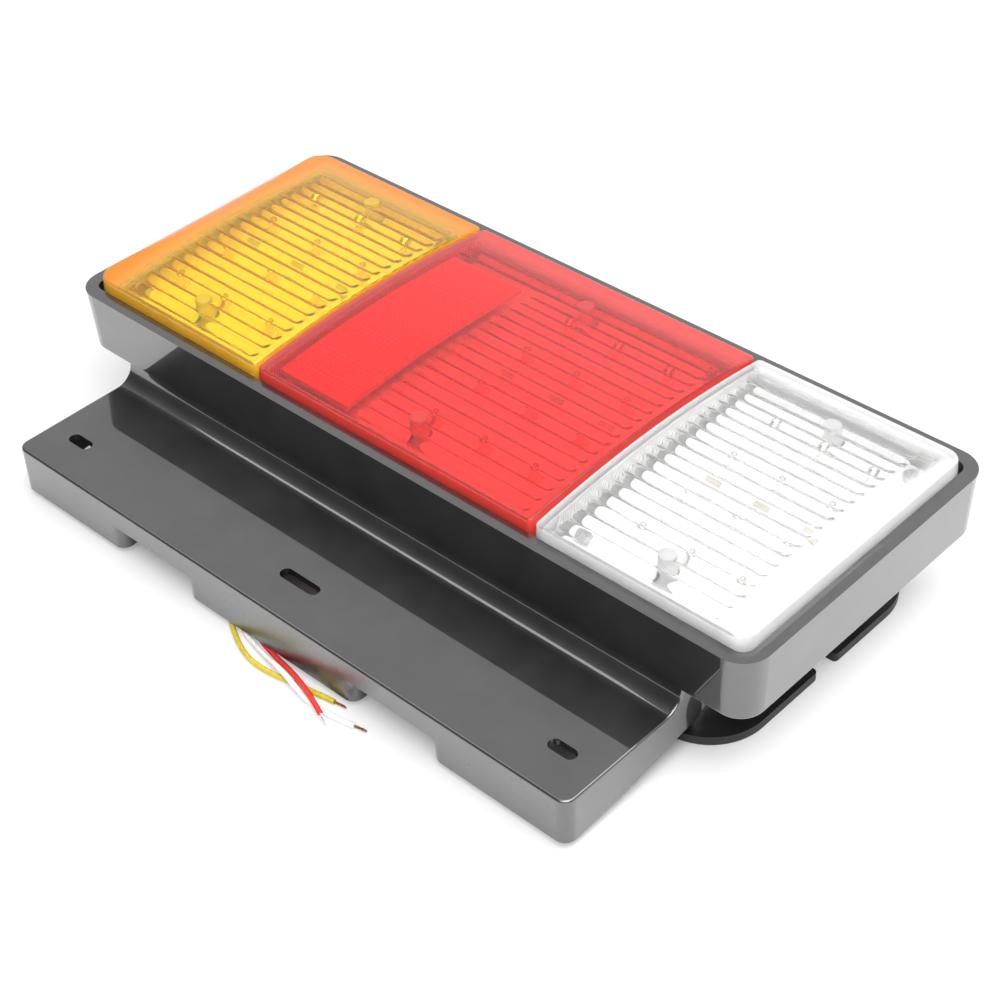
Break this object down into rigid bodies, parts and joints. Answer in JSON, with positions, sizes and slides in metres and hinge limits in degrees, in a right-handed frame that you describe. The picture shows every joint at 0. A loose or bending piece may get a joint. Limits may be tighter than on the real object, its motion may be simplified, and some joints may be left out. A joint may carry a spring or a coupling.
{
  "type": "trailer rear combination lamp",
  "caption": "Long rear lamp: amber, red and clear crowned lenses over LED boards in a black tray, with a slotted mounting wing along one side and bare-ended wires.",
  "frame": {"origin": "middle of the lamp's footprint, on the surface that the rear cover lies on", "axes": "+X along the lamp from the amber end to the clear end, +Y from the mounting wing to the far long side, +Z out of the lenses"},
  "size_m": [0.36, 0.2195, 0.0688],
  "materials": {
    "housing_plastic": "gloss",
    "cover_plastic": "satin",
    "screw_steel": "zinc plated",
    "seal_rubber": "pale silicone",
    "amber_acrylic": "clear gloss, fluted inside",
    "red_acrylic": "clear gloss, fluted inside",
    "clear_acrylic": "clear gloss, fluted inside",
    "reflex_acrylic": "prismatic",
    "board_white": "solder mask",
    "amber_led": "gloss",
    "red_led": "gloss",
    "clear_led": "gloss",
    "resistor_body": "matte",
    "grommet_rubber": "matte",
    "yellow_sheath": "satin",
    "white_sheath": "satin",
    "red_sheath": "satin",
    "copper_strand": "bare copper",
    "tinned_strand": "tinned copper"
  },
  "bodies": {
    "root": {"housing": "housing_plastic", "rear_cover": "cover_plastic", "cover_screws": "screw_steel", "lens_seal": "seal_rubber", "amber_lens": "amber_acrylic", "red_lens": "red_acrylic", "clear_lens": "clear_acrylic", "reflex_reflector": "reflex_acrylic", "lens_screws": "screw_steel", "amber_board": "board_white", "red_board": "board_white", "clear_board": "board_white", "board_screws": "screw_steel", "amber_leds": "amber_led", "red_leds": "red_led", "clear_leds": "clear_led", "resistors": "resistor_body", "cable_grommet": "grommet_rubber", "yellow_wire": "yellow_sheath", "yellow_strands": "copper_strand", "white_wire": "white_sheath", "white_strands": "copper_strand", "red_wire": "red_sheath", "red_strands": "tinned_strand"}
  },
  "joints": []
}
